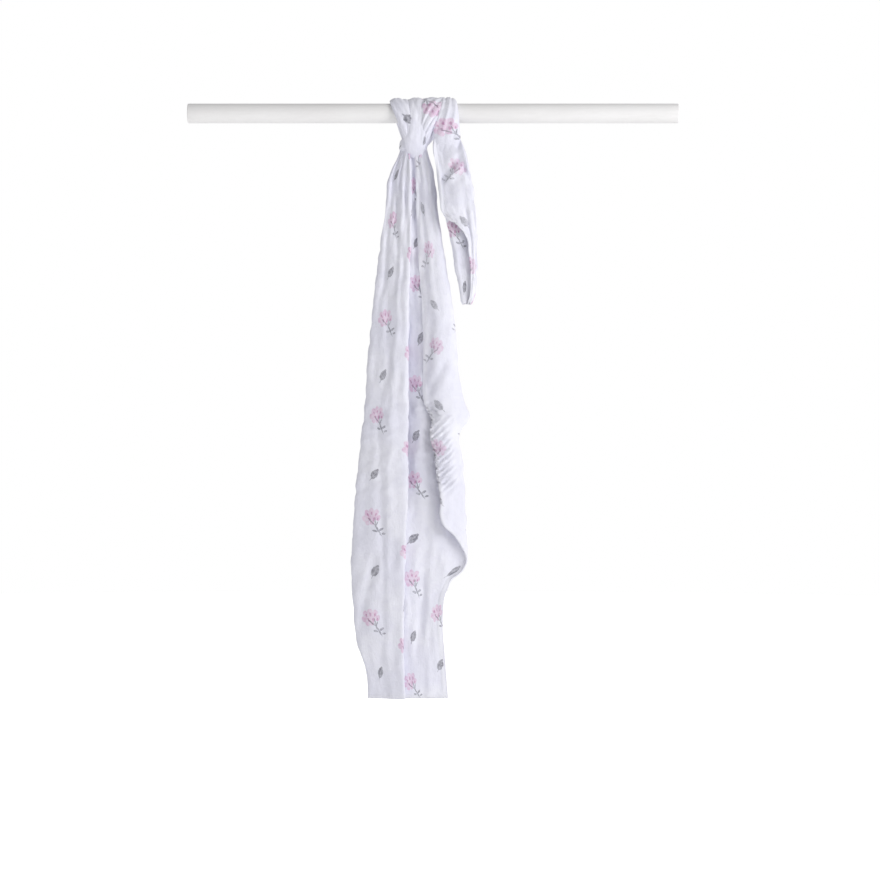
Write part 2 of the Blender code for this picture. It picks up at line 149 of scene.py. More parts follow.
# A layer has at least this many columns, and a section's length is measured in this many steps. The creases
# show on the front half of the layers alone, and come in over this many corners of the section.
LEAST_COLUMNS = 4
SECTION_STEPS = 2000
CREASES_COME_IN = 2.0

# The tail, the blanket's free end beside the knot, in the same columns
TAIL_OUTLINE = (
    (20.0, 31.0, 44.0, 57.0, 57.0, 0.50, 1.00),
    (50.0, 26.0, 47.5, 69.0, 69.0, 0.66, 1.00),
    (88.0, 32.0, 55.5, 79.0, 79.0, 0.90, 1.00),
    (124.0, 36.0, 61.0, 86.0, 86.0, 1.05, 1.00),
    (143.0, 39.0, 63.5, 88.0, 88.0, 1.08, 0.92),
    (160.0, 43.0, 66.0, 89.5, 89.5, 1.08, 0.50),
    (178.0, 47.0, 69.0, 91.0, 91.0, 1.05, 0.30),
    (200.0, 51.0, 71.0, 91.5, 91.5, 1.00, 0.24),
    (228.0, 55.0, 73.5, 92.0, 92.0, 0.90, 0.22),
    (252.0, 62.0, 75.0, 88.5, 88.5, 0.72, 0.22),
    (265.0, 64.5, 75.0, 85.0, 85.0, 0.62, 0.22),
    (275.0, 68.5, 75.0, 80.5, 80.5, 0.55, 0.22),
)
TAIL_LAYERS = {
    "back hem": (0.15, 0.90, -13.0, -14.0, -12.0),
    "middle": (1.00, 0.02, -5.0, -8.0, -3.0),
    "pocket": (0.00, 0.95, 6.0, 4.5, 6.0),
    "front flap": (1.00, 0.03, 11.0, 16.0, 10.0),
}
TAIL_ROWS = ((20.0, 135.0, 26), (135.0, 205.0, 18), (205.0, 275.0, 16))
TAIL_SPACING = (3.2, 3.6, 3.2, 2.6)
TAIL_TRUE_DROP = 120.0
# How far forward the tail hangs, in (drop, distance) pairs, and how far its print is moved, in metres
TAIL_FORWARD = ((20.0, 16.0), (65.0, 23.0))
TAIL_PRINT_SHIFT = (-0.012, -0.003)

# The broad flutes and the sway of the folds, which are the CAD model's own
SMALL_WAVE = 3.2
WAVE_LENGTH = 86.0
WAVE_SHIFT = 0.62
WAVE_DRIFT = 1800.0
WAVE_STARTS = 60.0
WAVE_FULL = 320.0
TURN_SWAY = 2.2
SWAY_DROP = 62.0
SWAY_STEP = 2.3

# Pleats that run down from the neck and keep their number across, so they crowd together there.
# Columns: pleats across, shift, how far they wander, drop of one wandering, then the height at each of
# PLEAT_DROPS. PLEAT_SLANT is how far the wandering lags from one side to the other.
PLEAT_DROPS = (46.0, 110.0, 220.0, 380.0, 600.0, 838.0)
PLEATS = (
    (6.5, 0.10, 0.16, 130.0, (1.0, 1.2, 0.7, 0.35, 0.35, 0.35)),
    (11.0, 0.55, 0.22, 85.0, (0.6, 0.7, 0.4, 0.2, 0.15, 0.15)),
)
PLEAT_SLANT = 3

# Single creases, each a soft trough (depth under 0) or ridge (over 0) along a line.
# Columns: across, drop, angle from level (0 to the right, 90 up), length, half width, depth.
FRONT_CREASES = {
    "cheek valley top": (-40.0, 300.0, 92.0, 210.0, 5.0, -1.6),
    "cheek valley low": (-48.0, 560.0, 92.0, 300.0, 5.0, -1.8),
    "neck pleat left": (-26.0, 150.0, 97.0, 150.0, 3.4, -2.2),
    "neck pleat middle": (-12.0, 130.0, 92.0, 130.0, 2.6, -1.8),
    "shoulder ripple": (34.0, 376.0, 62.0, 60.0, 4.0, -2.6),
    "low fold": (10.0, 700.0, 84.0, 180.0, 5.0, -1.8),
    "low cheek fold": (-70.0, 690.0, 78.0, 120.0, 5.0, -3.2),
}
TAIL_CREASES = {
    "star arm left": (49.5, 85.0, 52.0, 44.0, 3.8, -5.4),
    "star ridge left": (56.0, 90.0, 52.0, 38.0, 3.4, 4.2),
    "star arm right": (73.0, 88.0, 118.0, 44.0, 3.6, -5.4),
    "star ridge right": (66.5, 90.0, 118.0, 38.0, 3.2, 4.0),
    "star arm up": (62.0, 60.0, 96.0, 30.0, 3.0, -3.4),
    "left hollow": (40.0, 80.0, 98.0, 74.0, 6.0, -4.6),
    "root gather": (52.0, 46.0, 70.0, 40.0, 2.8, -2.8),
    "root gather two": (60.0, 50.0, 62.0, 40.0, 2.8, -2.6),
    "long fold": (74.0, 150.0, 96.0, 110.0, 3.6, -3.0),
}

# The ruffle that the waterfall's hem draws up where it leaves the fold: the drops where it starts, is full,
# fades and ends, its height, how far apart its ripples lie down the hem, how steeply they lean, how far in
# from the hem they reach, and how softly they end there.
RUFFLE_DROPS = (405.0, 430.0, 530.0, 552.0)
RUFFLE_HEIGHT = 3.1
RUFFLE_LENGTH = 11.0
RUFFLE_LEAN = 1.0
RUFFLE_REACH = 27.0
RUFFLE_EDGE = 3.0

# The crumpled grain of washed muslin: the lengths of its waves, how many run each its own way at each length,
# their height for a millimetre of length, how far they bend, and the length of a bend for that of a wave.
CRINKLE_LENGTHS = (9.0, 11.5, 14.0, 18.0, 24.0, 31.0)
CRINKLE_WAYS = 3
CRINKLE_HEIGHT = 0.009
CRINKLE_BEND = 1.8
CRINKLE_BEND_LENGTH = 2.7
ANY_PHASE = 6.3
# The bunched top of a sheet is stretched smooth to this share of the crinkle, which is full this far below it
CRINKLE_LEAST = 0.3
CRINKLE_FULL_DROP = 60.0

# The knot's rolls of bunched cloth, a row for each place along a roll.
# Columns: across from the knot, towards the viewer, up from the pole's axis, half the width, half the
# thickness.
ROLLS = {
    "left flap": (
        (-3.0, 12.0, -58.0, 7.0, 4.0),
        (-5.0, 20.0, -42.0, 10.0, 5.0),
        (-9.0, 23.5, -24.0, 11.5, 5.0),
        (-14.5, 22.0, -6.0, 12.5, 4.5),
        (-21.0, 15.0, 11.5, 13.5, 4.0),
        (-24.0, 0.0, 20.0, 13.5, 4.0),
        (-22.0, -14.5, 14.0, 13.0, 4.5),
        (-17.0, -20.0, -4.0, 12.0, 5.0),
        (-11.0, -15.0, -28.0, 10.0, 5.0),
        (-6.0, -8.0, -50.0, 8.0, 4.5),
    ),
    "saddle": (
        (1.0, 9.0, -63.0, 11.0, 3.5),
        (0.5, 21.0, -52.0, 15.0, 5.0),
        (0.0, 24.5, -34.0, 15.5, 5.5),
        (2.0, 23.0, -14.0, 13.0, 5.0),
        (3.0, 18.0, 7.0, 12.0, 4.5),
        (3.0, 4.0, 20.0, 13.0, 4.0),
        (1.0, -11.0, 17.5, 15.0, 4.0),
        (-1.0, -20.0, 2.0, 16.0, 4.5),
        (-3.0, -18.0, -18.0, 16.0, 5.0),
        (-4.0, -12.0, -42.0, 13.0, 5.0),
        (-3.0, -4.0, -60.0, 9.0, 4.0),
    ),
    "throat": (
        (10.0, 10.0, -56.0, 6.0, 4.0),
        (13.0, 18.0, -40.0, 7.5, 5.0),
        (17.0, 23.0, -22.0, 9.5, 6.5),
        (22.0, 24.0, -5.0, 13.5, 6.0),
        (27.0, 17.0, 12.0, 18.5, 4.5),
        (29.0, 1.0, 20.5, 20.5, 4.0),
        (29.0, -14.0, 15.0, 17.0, 4.5),
        (25.0, -20.0, -2.0, 13.0, 5.0),
        (17.0, -15.0, -22.0, 9.0, 5.0),
    ),
    "tail root": (
        (2.0, -6.0, -52.0, 7.0, 5.0),
        (17.0, -18.0, -30.0, 12.0, 6.0),
        (33.0, -20.5, -6.0, 13.0, 5.5),
        (42.0, -13.0, 15.0, 13.0, 5.0),
        (45.5, 3.0, 20.5, 12.5, 4.5),
        (47.5, 17.5, 9.0, 14.0, 5.5),
        (46.0, 22.5, -10.0, 17.0, 7.5),
        (45.0, 23.0, -32.0, 20.0, 8.5),
        (47.0, 22.0, -58.0, 18.0, 6.0),
    ),
}
ROLL_SIDES = 64
ROLL_STEPS = 7
# How much of the crinkle a roll takes, across, towards the viewer and up
ROLL_CRINKLE = (0.2, 0.4, 0.2)
ROLL_SEED = 40
# Columns: pleats across a roll's face, how far they slant in a millimetre along it, depth in mm
ROLL_PLEATS = {
    "left flap": ((1.5, 0.010, 1.8), (3.0, 0.020, 1.2), (7.0, -0.03, 0.5)),
    "saddle": ((1.5, 0.012, 1.3), (3.0, -0.022, 0.7), (7.0, 0.03, 0.4)),
    "throat": ((3.0, -0.045, 2.8), (5.0, -0.060, 1.6), (9.0, -0.05, 0.6)),
    "tail root": ((3.0, 0.020, 2.2), (6.0, 0.030, 1.2), (11.0, -0.03, 0.5)),
}
# Each roll's pleats start this much further on than the last one's. They wander this far, a radian of the
# wandering in so many millimetres.
ROLL_PLEATS_STEP = 1.7
ROLL_PLEATS_WANDER = 0.5
ROLL_PLEATS_WANDER_LENGTH = 17.0
# How round a pleat is, how much of it lies under the roll's own face, and how it fades round the roll's sides
ROLL_PLEATS_ROUNDNESS = 0.75
ROLL_PLEATS_MIDDLE = 0.62
ROLL_PLEATS_SIDES = 0.6
# They are full where a roll is this wide, and fade out towards its ends, which lie inside the sheets
ROLL_PLEATS_FULL_WIDTH = 14.0
ROLL_PLEATS_FADE = 24.0
ROLL_PLEATS_PLAIN_END = 0.4
# Where the print lies on each roll, in metres across and along, and whether the cloth's face (1) or back (-1)
# shows. The print goes round a roll in this many times its mean half width.
ROLL_PRINT = {
    "left flap": (0.385, 0.149, -1),
    "saddle": (0.140, 0.128, 1),
    "throat": (0.240, 0.246, 1),
    "tail root": (0.265, 0.068, 1),
}
ROLL_PRINT_ROUND = 4.8

# The turn of cloth round the neck: its centre, its radii across and towards the viewer, half its thickness
# and half its height, how far it rises for a millimetre to the right, and the steps round the neck and round
# itself
NECK_BAND_CENTRE = (-3.0, 1.0, -43.0)
NECK_BAND_RADII = (15.0, 14.0)
NECK_BAND_TUBE = (5.0, 9.0)
NECK_BAND_LEAN = 0.25
NECK_BAND_STEPS = (80, 28)
# It swells (height, times round the neck, shift), and has folds (depth, times round itself) that wander
# (how far, times round the neck) and are rounded as a roll's pleats are (roundness, middle)
NECK_BAND_SWELL = (0.10, 3, 1.0)
NECK_BAND_FOLDS = (0.24, 2.5)
NECK_BAND_WANDER = (0.9, 2)
NECK_BAND_ROUNDNESS = (0.7, 0.6)
# Where its print starts across, how far it goes round itself, and how far along the cloth it goes, in metres
NECK_BAND_PRINT = (0.5, 0.050, 0.11)


def place(across, front, up):
    """A point given from the knot and the pole's axis, in metres in the part's frame."""
    return Vector((KNOT_X + across, -front, up)) * MM


def new_object(name, data):
    """The data as an object of the scene."""
    made = bpy.data.objects.new(name, data)
    bpy.context.scene.collection.objects.link(made)
    return made


def smooth_through(stations, values, at):
    """A cubic through the values, whose slope at each station is that of its neighbours."""
    slopes = np.gradient(values, stations)
    k = np.clip(np.searchsorted(stations, at) - 1, 0, len(stations) - 2)
    span = stations[k + 1] - stations[k]
    t = (at - stations[k]) / span
    rise = values[k + 1] - values[k]
    bend_in = slopes[k] * span - rise
    bend_out = rise - slopes[k + 1] * span
    return values[k] + t * rise + t * (1 - t) * ((1 - t) * bend_in + t * bend_out)


def soft_curve(corners, at):
    """Points of a uniform cubic B-spline that starts and ends on its first and last corners."""
    padded = np.vstack([corners[:1]] * 2 + [corners] + [corners[-1:]] * 2)
    spans = len(padded) - 3
    k = np.clip(np.floor(at).astype(int), 0, spans - 1)
    t = (at - k)[:, None]
    weights = (
        (1 - t) ** 3,
        3 * t**3 - 6 * t**2 + 4,
        -3 * t**3 + 3 * t**2 + 3 * t + 1,
        t**3,
    )
    return sum(weight * padded[k + i] for i, weight in enumerate(weights)) / 6


def level_of(outline, drop):
    """The outline's columns at one drop."""
    columns = {key: np.array(values) for key, values in zip(OUTLINE_COLUMNS, zip(*outline))}
    return {key: smooth_through(columns["drop"], columns[key], drop) for key in OUTLINE_COLUMNS[1:]}


def sway(turn, drop):
    """How far one turn of the sheet sways to the side."""
    return TURN_SWAY * np.sin(drop / SWAY_DROP + SWAY_STEP * turn)


def depth_at(depth, drop):
    """A depth from the layers' table at one drop."""
    return np.interp(drop, *zip(*depth)) if isinstance(depth, tuple) else depth


def layer_corners(layers, level, drop):
    """The corners of one level section: each layer's start, middle and end, across and towards the viewer."""
    corners = []
    for turn, (name, (start, end, *depths)) in enumerate(layers.items()):
        right = level["flap"] if name in WATERFALL else level["right"]
        sways = (sway(turn, drop), 0.0, sway(turn + 1, drop))
        for share, depth, swayed in zip((start, (start + end) / 2, end), depths, sways):
            across = np.interp(share, (0.0, 0.5, 1.0), (level["left"], level["ridge"], right))
            corners.append((across + swayed * level["depth"], depth_at(depth, drop) * level["depth"]))
    return np.array(corners)


def wave(across, drop):
    """The soft vertical flutes that all the layers share, towards the viewer."""
    grown = np.clip((drop - WAVE_STARTS) / (WAVE_FULL - WAVE_STARTS), 0, 1)
    return SMALL_WAVE * grown * np.sin(2 * np.pi * (across / WAVE_LENGTH + WAVE_SHIFT + drop / WAVE_DRIFT))


def pleats(across, drop, level):
    """The fine pleats, towards the viewer. Every layer shares them, so the layers keep their distance."""
    left, ridge, right = level["left"], level["ridge"], level["right"]
    side = np.where(across < ridge, ridge - left, right - ridge)
    share = 0.5 + 0.5 * (across - ridge) / side
    total = 0.0
    for count, shift, wander, wander_drop, heights in PLEATS:
        height = np.interp(drop, PLEAT_DROPS, heights)
        wandered = wander * np.sin(2 * np.pi * drop / wander_drop + PLEAT_SLANT * share)
        total = total + height * np.sin(2 * np.pi * (count * share + shift + wandered))
    return total


def creases(table, across, drop):
    """How far the table's creases push the cloth towards the viewer."""
    total = np.zeros_like(across)
    for x, down, angle, length, width, depth in table.values():
        turn = np.radians(angle)
        right, up = across - x, down - drop
        along = right * np.cos(turn) + up * np.sin(turn)
        aside = -right * np.sin(turn) + up * np.cos(turn)
        total += depth * np.exp(-((aside / width) ** 2) - (2 * along / length) ** 4)
    return total


def ruffle(across, front, drop):
    """How far the ripples along the hem at the section's end push the cloth towards the viewer."""
    steps = np.hypot(np.diff(across), np.diff(front))
    from_hem = np.append(np.cumsum(steps[::-1])[::-1], 0.0)
    grown = np.interp(drop, RUFFLE_DROPS, (0.0, 1.0, 1.0, 0.0), 0.0, 0.0)
    near = 1 / (1 + np.exp((from_hem - RUFFLE_REACH) / RUFFLE_EDGE))
    return RUFFLE_HEIGHT * grown * near * np.sin(2 * np.pi * (drop + RUFFLE_LEAN * across) / RUFFLE_LENGTH)


def any_way(random):
    """A direction by chance, of length 1."""
    way = random.normal(size=3)
    return way / np.linalg.norm(way)


def crinkle(points, seed):
    """How far the crumpled grain pushes each point out: a sum of slanting waves that never line up."""
    random = np.random.default_rng(seed)
    total = np.zeros(points.shape[:-1])
    for length in CRINKLE_LENGTHS:
        for _ in range(CRINKLE_WAYS):
            along, bend = any_way(random), any_way(random)
            bent = points @ bend * (2 * np.pi / (CRINKLE_BEND_LENGTH * length)) + random.uniform(0, ANY_PHASE)
            phase = points @ along * (2 * np.pi / length) + CRINKLE_BEND * np.sin(bent)
            total += CRINKLE_HEIGHT * length * np.sin(phase + random.uniform(0, ANY_PHASE))
    return total


def section_arc(outline, layers, drop):
    """(places along the section, length up to each) at one drop, in mm."""
    at = np.linspace(0, CORNERS_A_LAYER * len(layers) + 1, SECTION_STEPS)
    section = soft_curve(layer_corners(layers, level_of(outline, drop), drop), at)
    steps = np.linalg.norm(np.diff(section, axis=0), axis=1)
    return at, np.concatenate([[0.0], np.cumsum(steps)])


def column_places(layers, trimmed_layers, spacing, arc):
    """Where the columns lie along a section, so that each layer's are as far apart as its spacing."""
    fixed = [0.0]
    for k in range(len(layers) - trimmed_layers):
        first = CORNERS_A_LAYER * k + 1 if k else 0
        beyond = CORNERS_A_LAYER * (k + 1) + 1
        length = np.interp([first, beyond], *arc)
        count = max(LEAST_COLUMNS, round((length[1] - length[0]) / spacing[k]))
        fixed.extend(np.linspace(first, beyond, count + 1)[1:])
    return np.array(fixed)


def grid_normals(grid):
    """Which way a grid of points faces at each of them."""
    normal = np.cross(np.gradient(grid, axis=0), np.gradient(grid, axis=1))
    return normal / (np.linalg.norm(normal, axis=2, keepdims=True) + 1e-9)


def lengths_across(grid):
    """The length of cloth from the grid's first column to each point of its row."""
    steps = np.linalg.norm(np.diff(grid, axis=1), axis=2)
    return np.concatenate([np.zeros((len(grid), 1)), np.cumsum(steps, axis=1)], axis=1)


def hanging_grid(
    outline, layers, trimmed_layers, rows, spacing, true_drop, forward, crease_table, has_ruffle, seed
):
    """The sheet's grid of points in mm (across, front, up), and its print coordinates in metres.

    The last trimmed_layers of the layers end early, at the slanting hem.
    """
    arc = section_arc(outline, layers, true_drop)
    drops = np.unique(np.concatenate([np.linspace(a, b, n + 1) for a, b, n in rows]))
    last = CORNERS_A_LAYER * len(layers) + 1
    trimmed_from = CORNERS_A_LAYER * (len(layers) - trimmed_layers) + 1
    fixed = column_places(layers, trimmed_layers, spacing, arc)
    trimmed_length = arc[1][-1] - np.interp(trimmed_from, *arc)
    moving = np.linspace(0, 1, round(trimmed_length / np.mean(spacing[-trimmed_layers:])) + 1)[1:]
    front_from = CORNERS_A_LAYER * (len(layers) // 2)
    points, prints = [], []
    for drop in drops:
        level = level_of(outline, drop)
        hem = trimmed_from + (last - trimmed_from) * level["kept"]
        at = np.concatenate([fixed, trimmed_from + (hem - trimmed_from) * moving])
        across, front = soft_curve(layer_corners(layers, level, drop), at).T
        shared = wave(across, drop) + pleats(across, drop, level)
        facing = np.clip((at - front_from) / CREASES_COME_IN, 0, 1)
        drawn = creases(crease_table, across, drop) + has_ruffle * ruffle(across, front, drop)
        front = front + shared + facing * drawn + depth_at(forward, drop)
        points.append(np.column_stack([across, front, np.full_like(across, -drop)]))
        prints.append(np.column_stack([np.interp(at, *arc), np.full_like(across, drop)]) * MM)
    points, prints = np.array(points), np.array(prints)
    crumpled = np.clip((drops - drops[0]) / CRINKLE_FULL_DROP, CRINKLE_LEAST, 1.0)[:, None]
    points = points + grid_normals(points) * (crinkle(points, seed) * crumpled)[..., None]
    return points, prints


def hem_share(grid):
    """How much each point of a grid belongs to the hem at its two side edges and its lower edge."""
    length = lengths_across(grid)
    from_side = np.minimum(length, length[:, -1:] - length)
    from_bottom = grid[:, :, 2] - grid[-1, :, 2]
    return np.clip((HEM_WIDTH - np.minimum(from_side, from_bottom)) / HEM_SLOPE + 0.5, 0, 1)


def finished(name, data):
    """The mesh as an object, smooth and with its faces pointing outwards."""
    mesh = bmesh.new()
    mesh.from_mesh(data)
    bmesh.ops.recalc_face_normals(mesh, faces=mesh.faces)
    if mesh.calc_volume(signed=True) < 0:
        bmesh.ops.reverse_faces(mesh, faces=mesh.faces)
    mesh.to_mesh(data)
    mesh.free()
    data.polygons.foreach_set("use_smooth", [True] * len(data.polygons))
    return new_object(name, data)


def mesh_data(name, mesh):
    """A new mesh from a bmesh, which it frees."""
    data = bpy.data.meshes.new(name)
    mesh.to_mesh(data)
    mesh.free()
    return data


def set_on_points(data, name, values):
    """Gives each of the mesh's points its value of a named attribute."""
    data.attributes.new(name, "FLOAT", "POINT").data.foreach_set("value", values.astype(np.float32))


def sheet_mesh(name, grid, prints):
    """A closed thin sheet on the grid: two skins half a thickness to each side, joined round the edge."""
    normal = grid_normals(grid)
    hem = hem_share(grid)
    half = 0.5 * (CLOTH_THICKNESS + (HEM_THICKNESS - CLOTH_THICKNESS) * hem)[..., None]
    rows, columns = grid.shape[:2]
    count = rows * columns
    index = np.arange(count).reshape(rows, columns)
    corners = np.vstack([(grid + normal * half).reshape(-1, 3), (grid - normal * half).reshape(-1, 3)])
    corners = np.column_stack([KNOT_X + corners[:, 0], -corners[:, 1], corners[:, 2]]) * MM
    quads = np.stack([index[:-1, :-1], index[1:, :-1], index[1:, 1:], index[:-1, 1:]], axis=-1).reshape(-1, 4)
    rim = np.concatenate([index[0, :], index[1:, -1], index[-1, -2::-1], index[-2:0:-1, 0]])
    after = np.roll(rim, -1)
    edge = np.column_stack([rim, after, after + count, rim + count])
    faces = np.vstack([quads, quads[:, ::-1] + count, edge])
    data = bpy.data.meshes.new(name)
    data.from_pydata(corners.tolist(), [], faces.tolist())
    uv = data.uv_layers.new(name="print")
    flat = np.vstack([prints.reshape(-1, 2)] * 2)
    loops = np.empty(len(data.loops), np.int32)
    data.loops.foreach_get("vertex_index", loops)
    uv.data.foreach_set("uv", flat[loops].astype(np.float32).ravel())
    set_on_points(data, "hem", np.concatenate([hem.ravel()] * 2))
    set_on_points(data, "reverse", np.repeat([1.0, 0.0], count))
    return finished(name, data)


def closed_loft(name, rings, prints):
    """A closed solid through rings of points, with a flat end on the first and the last."""
    mesh = bmesh.new()
    corners = [[mesh.verts.new(place(*point)) for point in ring] for ring in rings]
    uv = mesh.loops.layers.uv.new("print")
    sides = len(rings[0])
    for i, (here, after) in enumerate(zip(corners, corners[1:])):
        for j in range(sides):
            beyond = (j + 1) % sides
            face = mesh.faces.new((here[j], here[beyond], after[beyond], after[j]))
            for loop, (row, column) in zip(face.loops, ((i, j), (i, j + 1), (i + 1, j + 1), (i + 1, j))):
                loop[uv].uv = prints(row, column)
    mesh.faces.new(corners[0])
    mesh.faces.new(list(reversed(corners[-1])))
    return finished(name, mesh_data(name, mesh))


def bunched_roll(kind, rows, phase):
    """A roll of bunched cloth along its rows, oval in section, with pleats that run along it."""
    table = np.array(rows)
    route = soft_curve(table, np.linspace(0, len(rows) + 1, len(rows) * ROLL_STEPS))
    turn = np.linspace(0, 2 * np.pi, ROLL_SIDES, endpoint=False)
    lengths = np.concatenate([[0.0], np.cumsum(np.linalg.norm(np.diff(route[:, :3], axis=0), axis=1))])
    face = 0.5 + 0.5 * np.cos(turn)
    rings = []
    for k, row in enumerate(route):
        before, after = route[max(k - 1, 0)], route[min(k + 1, len(route) - 1)]
        along = (after - before)[:3]
        along /= np.linalg.norm(along)
        width = np.array([1.0, 0.0, 0.0]) - along[0] * along
        width /= np.linalg.norm(width)
        thick = np.cross(along, width)
        fold = np.zeros_like(turn)
        for count, slant, depth in ROLL_PLEATS[kind]:
            wander = ROLL_PLEATS_WANDER * np.sin(lengths[k] / ROLL_PLEATS_WANDER_LENGTH + count)
            turned = np.pi * (count * face + slant * lengths[k]) + phase + wander
            fold += depth * (np.abs(np.sin(turned)) ** ROLL_PLEATS_ROUNDNESS - ROLL_PLEATS_MIDDLE)
        from_end = min(lengths[k], lengths[-1] - lengths[k])
        grown = max(0.0, from_end / ROLL_PLEATS_FADE - ROLL_PLEATS_PLAIN_END)
        fold *= np.abs(np.sin(turn)) ** ROLL_PLEATS_SIDES * min(1.0, row[3] / ROLL_PLEATS_FULL_WIDTH, grown)
        ring = row[:3] + np.outer(np.cos(turn) * row[3], width)
        rings.append(ring + np.outer(np.sin(turn) * row[4] + np.sign(np.sin(turn)) * fold, thick))
    rings = np.array(rings)
    rings += crinkle(rings, ROLL_SEED + round(10 * phase))[..., None] * np.array(ROLL_CRINKLE)
    print_across, print_along, side = ROLL_PRINT[kind]
    around = ROLL_PRINT_ROUND * np.mean(table[:, 3])

    def prints(k, j):
        return print_across + side * around * MM * j / ROLL_SIDES, print_along + lengths[k] * MM

    return closed_loft(f"{kind} roll", rings, prints)


def neck_band(name):
    """The turn of cloth that binds the neck below the pole."""
    centre_across, centre_front, centre_up = NECK_BAND_CENTRE
    radius_across, radius_front = NECK_BAND_RADII
    half_thick, half_high = NECK_BAND_TUBE
    swell_height, swells, swell_shift = NECK_BAND_SWELL
    fold_depth, folds = NECK_BAND_FOLDS
    wander, wanders = NECK_BAND_WANDER
    roundness, fold_middle = NECK_BAND_ROUNDNESS
    print_start, print_round, print_along = NECK_BAND_PRINT
    around, tube = (np.linspace(0, 2 * np.pi, steps, endpoint=False) for steps in NECK_BAND_STEPS)
    mesh = bmesh.new()
    uv = mesh.loops.layers.uv.new("print")
    grid = []
    for a in around:
        swell = 1 + swell_height * np.sin(swells * a + swell_shift)
        ring = []
        for b in tube:
            turned = folds * b + wander * np.sin(wanders * a)
            size = swell * (1 + fold_depth * (abs(np.sin(turned)) ** roundness - fold_middle))
            out = 1 + half_thick * size * np.cos(b) / radius_across
            across = centre_across + radius_across * out * np.cos(a)
            front = centre_front + radius_front * out * np.sin(a)
            up = centre_up + half_high * size * np.sin(b) + NECK_BAND_LEAN * (across - centre_across)
            ring.append(mesh.verts.new(place(across, front, up)))
        grid.append(ring)
    for i in range(len(around)):
        here, beyond = grid[i], grid[(i + 1) % len(around)]
        for j in range(len(tube)):
            next_j = (j + 1) % len(tube)
            face = mesh.faces.new((here[j], beyond[j], beyond[next_j], here[next_j]))
            for loop, (row, column) in zip(face.loops, ((i, j), (i + 1, j), (i + 1, j + 1), (i, j + 1))):
                print_across = print_start + print_round * column / len(tube)
                loop[uv].uv = (print_across, print_along * row / len(around))
    return finished(name, mesh_data(name, mesh))


def join(target, *others):
    """Joins the other meshes into the target's."""
    bpy.ops.object.select_all(action="DESELECT")
    for other in (target, *others):
        other.select_set(True)
    bpy.context.view_layer.objects.active = target
    bpy.ops.object.join()


def clear_of_pole(mesh):
    """Lays whatever cloth would lie inside the pole on its surface."""
    places = np.array([corner.co[:] for corner in mesh.vertices])
    radius = np.hypot(places[:, 1], places[:, 2])
    nearest = (POLE_DIAMETER / 2 + POLE_GAP) * MM
    out = np.where(radius < nearest, nearest / np.maximum(radius, 1e-6), 1.0)
    places[:, 1:] *= out[:, None]
    mesh.vertices.foreach_set("co", places.ravel())


# The blanket
hanging_points, hanging_print = hanging_grid(
    outline=OUTLINE,
    layers=HANGING_LAYERS,
    trimmed_layers=len(WATERFALL),
    rows=HANGING_ROWS,
    spacing=HANGING_SPACING,
    true_drop=HANGING_TRUE_DROP,
    forward=0.0,
    crease_table=FRONT_CREASES,
    has_ruffle=True,
    seed=11,
)
tail_points, tail_print = hanging_grid(
    outline=TAIL_OUTLINE,
    layers=TAIL_LAYERS,
    trimmed_layers=1,
    rows=TAIL_ROWS,
    spacing=TAIL_SPACING,
    true_drop=TAIL_TRUE_DROP,
    forward=TAIL_FORWARD,
    crease_table=TAIL_CREASES,
    has_ruffle=False,
    seed=23,
)
tail_print += TAIL_PRINT_SHIFT
blanket = sheet_mesh("muslin_blanket", hanging_points, hanging_print)
tail = sheet_mesh("tail sheet", tail_points, tail_print)
rolls = [bunched_roll(kind, rows, ROLL_PLEATS_STEP * k) for k, (kind, rows) in enumerate(ROLLS.items())]
join(blanket, tail, neck_band("neck band"), *rolls)
clear_of_pole(blanket.data)


# The pole
def make_pole(name):
    """A round bar with its rims rounded off, turned round its own axis."""
    radius = POLE_DIAMETER / 2
    bend = np.linspace(0, np.pi / 2, POLE_EDGE_STEPS)[::-1]
    left = [(POLE_EDGE - POLE_EDGE * np.sin(a), radius - POLE_EDGE + POLE_EDGE * np.cos(a)) for a in bend]
    middle = [(x, radius) for x in np.linspace(POLE_EDGE, POLE_LENGTH - POLE_EDGE, POLE_RINGS)[1:-1]]
    profile = left + middle + [(POLE_LENGTH - x, r) for x, r in left[::-1]]
    mesh = bmesh.new()
    turn = np.linspace(0, 2 * np.pi, POLE_SIDES, endpoint=False)
    rings = [
        [mesh.verts.new(Vector((x, r * np.cos(a), r * np.sin(a))) * MM) for a in turn]
        for x, r in profile
    ]
    for here, beyond in zip(rings, rings[1:]):
        for j in range(POLE_SIDES):
            next_j = (j + 1) % POLE_SIDES
            mesh.faces.new((here[j], here[next_j], beyond[next_j], beyond[j]))
    mesh.faces.new(rings[0])
    mesh.faces.new(list(reversed(rings[-1])))
    made = finished(name, mesh_data(name, mesh))
    for polygon in made.data.polygons:
        polygon.use_smooth = len(polygon.vertices) == 4
    return made


pole = make_pole("hanging_pole")


